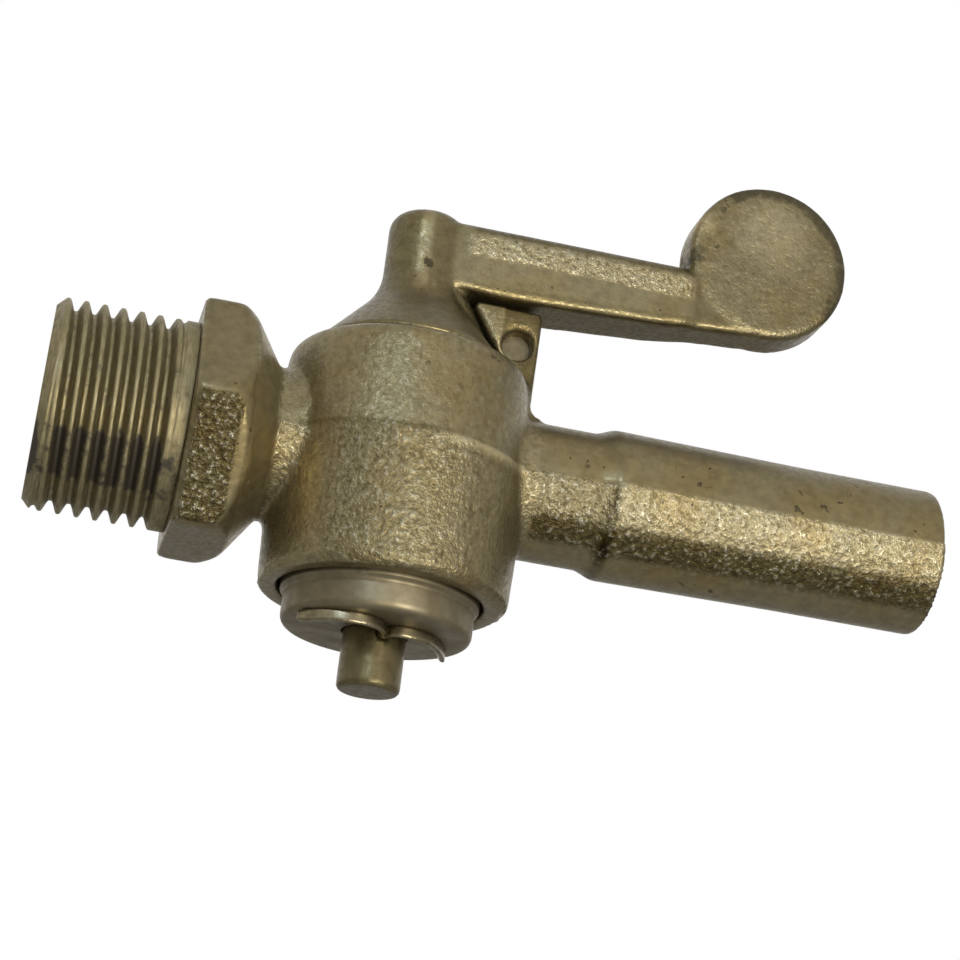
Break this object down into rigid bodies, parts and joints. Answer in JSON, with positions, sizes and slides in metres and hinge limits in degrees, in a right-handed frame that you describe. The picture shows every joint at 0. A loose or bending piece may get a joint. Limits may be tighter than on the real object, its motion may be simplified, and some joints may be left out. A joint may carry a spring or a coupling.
{
  "type": "milking vacuum valve",
  "caption": "Spring-loaded taper-plug vacuum tap with a threaded inlet, a plain hose tail and a quarter-turn lever with a round thumb disc.",
  "frame": {"origin": "centre of the inlet thread where it meets the seating face of the hexagon", "axes": "+X along the flow towards the hose tail, +Z along the plug towards the lever, +Y away from the viewer of the picture"},
  "size_m": [0.0914, 0.0266, 0.0612],
  "materials": {
    "body_casting": "nickel-plated, sand-cast grain",
    "lever_casting": "nickel-plated, sand-cast grain",
    "stop_pin_steel": "satin plated",
    "cup_steel": "satin plated, pressed",
    "spring_steel": "oiled wire",
    "split_pin_steel": "plated wire"
  },
  "bodies": {
    "body": {"valve_body": "body_casting", "stop_pin": "stop_pin_steel"},
    "lever": {"lever_plug": "lever_casting", "spring_cup": "cup_steel", "spring": "spring_steel", "split_pin": "split_pin_steel"}
  },
  "joints": [
    {"name": "lever_turn", "type": "hinge", "parent": "body", "child": "lever", "pos_m": [0.0218, 0, 0], "axis": [0, 0, 1], "range_deg": [0, 90]}
  ]
}
